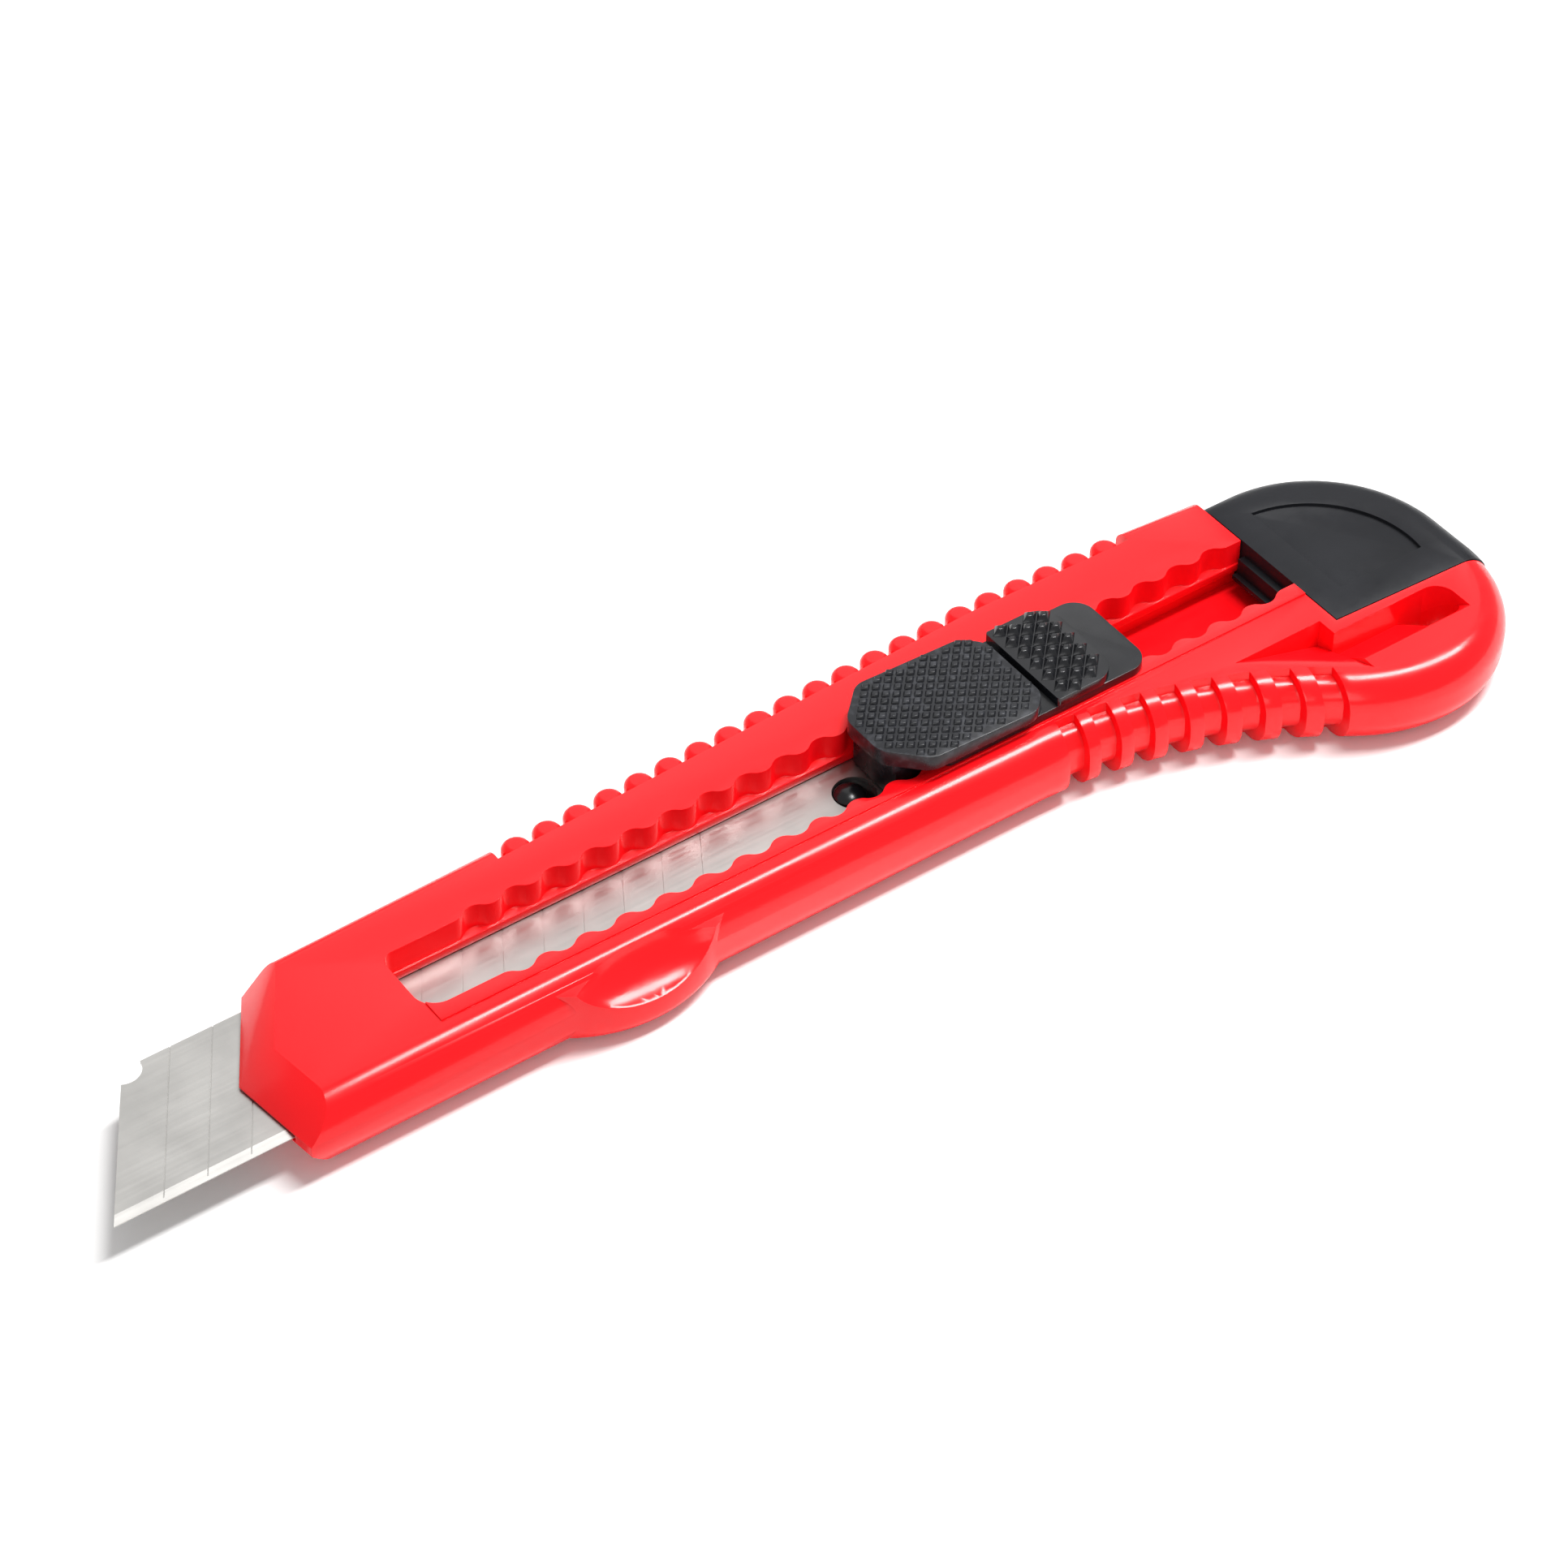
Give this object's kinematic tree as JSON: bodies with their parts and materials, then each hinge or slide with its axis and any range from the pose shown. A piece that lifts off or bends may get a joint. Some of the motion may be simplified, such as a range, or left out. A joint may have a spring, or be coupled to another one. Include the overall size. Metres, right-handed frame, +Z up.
{
  "type": "utility knife",
  "caption": "Snap-off utility knife: moulded ribbed casing with a scalloped window, sliding blade with thumb lock, push-fit end cap and a lanyard hole in the hooked butt.",
  "frame": {"origin": "centre of the footprint on the underside that the knife lies on", "axes": "+X from the blade tip to the butt, +Y towards the spine of the blade, +Z up out of the face with the slider"},
  "size_m": [0.1744, 0.0411, 0.0127],
  "materials": {
    "casing_plastic": "moulded red plastic, glossy",
    "cap_plastic": "black moulded plastic, satin",
    "blade_steel": "ground carbon steel with snap lines",
    "slider_plastic": "black moulded plastic with small pyramids on the rear pad",
    "button_plastic": "black moulded plastic with diamond knurling",
    "spring_steel": "spring strip, bright"
  },
  "bodies": {
    "casing": {"body": "casing_plastic"},
    "cap": {"end_cap": "cap_plastic"},
    "slider": {"blade_carrier": "slider_plastic", "blade": "blade_steel", "lock_spring": "spring_steel"},
    "button": {"thumb_button": "button_plastic"}
  },
  "joints": [
    {"name": "slider_slide", "type": "slide", "parent": "casing", "child": "slider", "axis": [-1, 0, 0], "range_m": [-0.0216, 0.05], "deforming": ["lock_spring"]},
    {"name": "button_push", "type": "slide", "parent": "slider", "child": "button", "axis": [-1, 0, 0], "range_m": [-0.0008, 0.001], "stiffness_N_per_m": 900},
    {"name": "cap_pull", "type": "slide", "parent": "casing", "child": "cap", "axis": [1, 0, 0], "range_m": [0, 0.025]}
  ]
}
